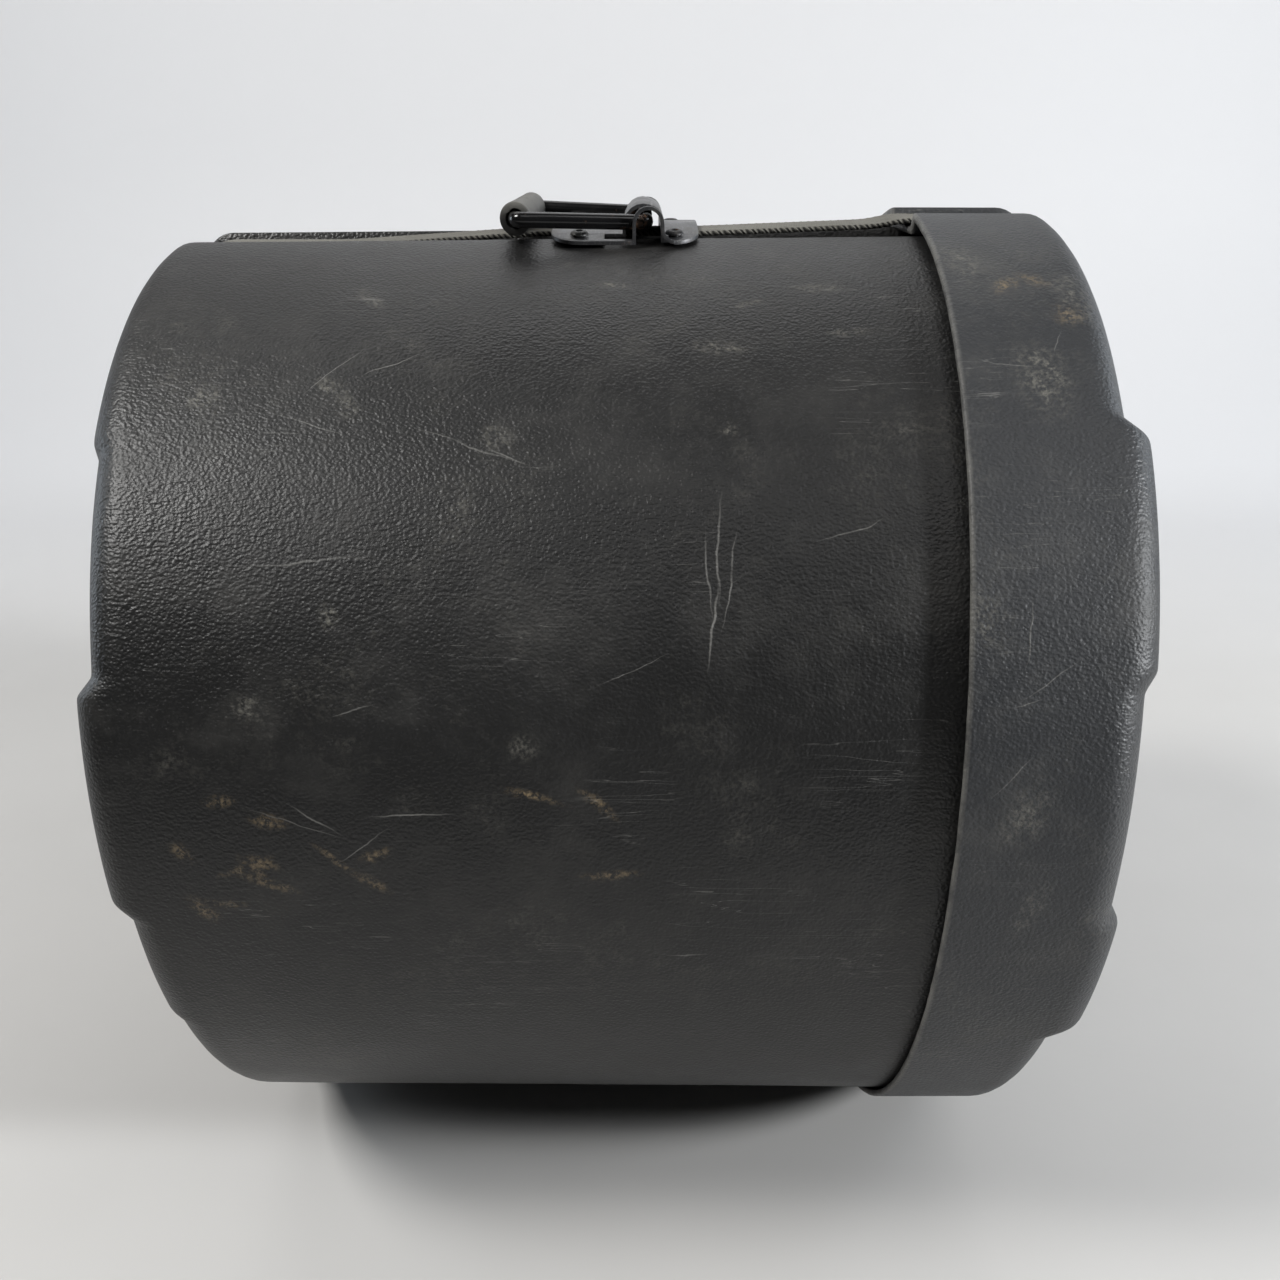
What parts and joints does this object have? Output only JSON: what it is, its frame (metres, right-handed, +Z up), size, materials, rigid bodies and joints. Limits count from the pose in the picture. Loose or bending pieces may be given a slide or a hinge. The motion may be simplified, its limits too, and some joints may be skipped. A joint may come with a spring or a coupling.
{
  "type": "drum case",
  "caption": "Round hard-shell case for a tom drum, with a lift-off lid, raised stacking feet, a strap with a side-release buckle and a folding bail handle.",
  "frame": {"origin": "on the ground under the middle of the case, which lies on its side", "axes": "+X along the case from the closed base to the lid, +Z up through the carrying handle"},
  "size_m": [0.4192, 0.4712, 0.4741],
  "materials": {
    "shell": "black moulded polyethylene with a leather grain, scuffed",
    "lid": "black moulded polyethylene with a leather grain, scuffed",
    "foam": "dark grey soft foam",
    "webbing": "woven strap webbing, dusty",
    "buckle": "black acetal",
    "bracket": "dull grey stamped steel",
    "wire": "black enamelled rod, rusty at the hinge",
    "grip": "dark vinyl tube with a dusty upper side",
    "rivet": "dark blind rivet",
    "washer": "zinc plated"
  },
  "bodies": {
    "case": {"base_shell": "shell", "base_foam_pad": "foam", "base_strap": "webbing", "handle_bracket": "bracket", "buckle_body": "buckle", "bracket_rivet_1": "rivet", "bracket_washer_1": "washer", "bracket_rivet_2": "rivet", "bracket_washer_2": "washer", "bracket_rivet_3": "rivet", "bracket_washer_3": "washer", "bracket_rivet_4": "rivet", "bracket_washer_4": "washer", "base_strap_rivet_1": "rivet", "base_strap_washer_1": "washer", "base_strap_rivet_2": "rivet", "base_strap_washer_2": "washer"},
    "lid": {"lid_shell": "lid", "lid_foam_pad": "foam", "lid_strap": "webbing", "buckle_insert": "buckle", "lid_strap_rivet_1": "rivet", "lid_strap_washer_1": "washer", "lid_strap_rivet_2": "rivet", "lid_strap_washer_2": "washer"},
    "bail": {"bail_wire": "wire"},
    "grip": {"handle_grip": "grip"},
    "prong_near": {"buckle_prong_near": "buckle"},
    "prong_far": {"buckle_prong_far": "buckle"}
  },
  "joints": [
    {"name": "lid_slide", "type": "slide", "parent": "case", "child": "lid", "axis": [1, 0, 0], "range_m": [0, 0.075]},
    {"name": "bail_hinge", "type": "hinge", "parent": "case", "child": "bail", "pos_m": [0.014, 0, 0.46563], "axis": [0, 1, 0], "range_deg": [0, 95]},
    {"name": "grip_spin", "type": "hinge", "parent": "bail", "child": "grip", "pos_m": [-0.0432, 0, 0.46743], "axis": [0, 1, 0], "continuous": true},
    {"name": "prong_near_press", "type": "slide", "parent": "lid", "child": "prong_near", "axis": [0, 1, 0], "range_m": [0, 0.003], "stiffness_N_per_m": 600, "springref_m": -0.001},
    {"name": "prong_far_press", "type": "slide", "parent": "lid", "child": "prong_far", "axis": [0, -1, 0], "range_m": [0, 0.003]}
  ],
  "couplings": [
    {"joint": "prong_far_press", "follows": "prong_near_press", "ratio": 1}
  ]
}
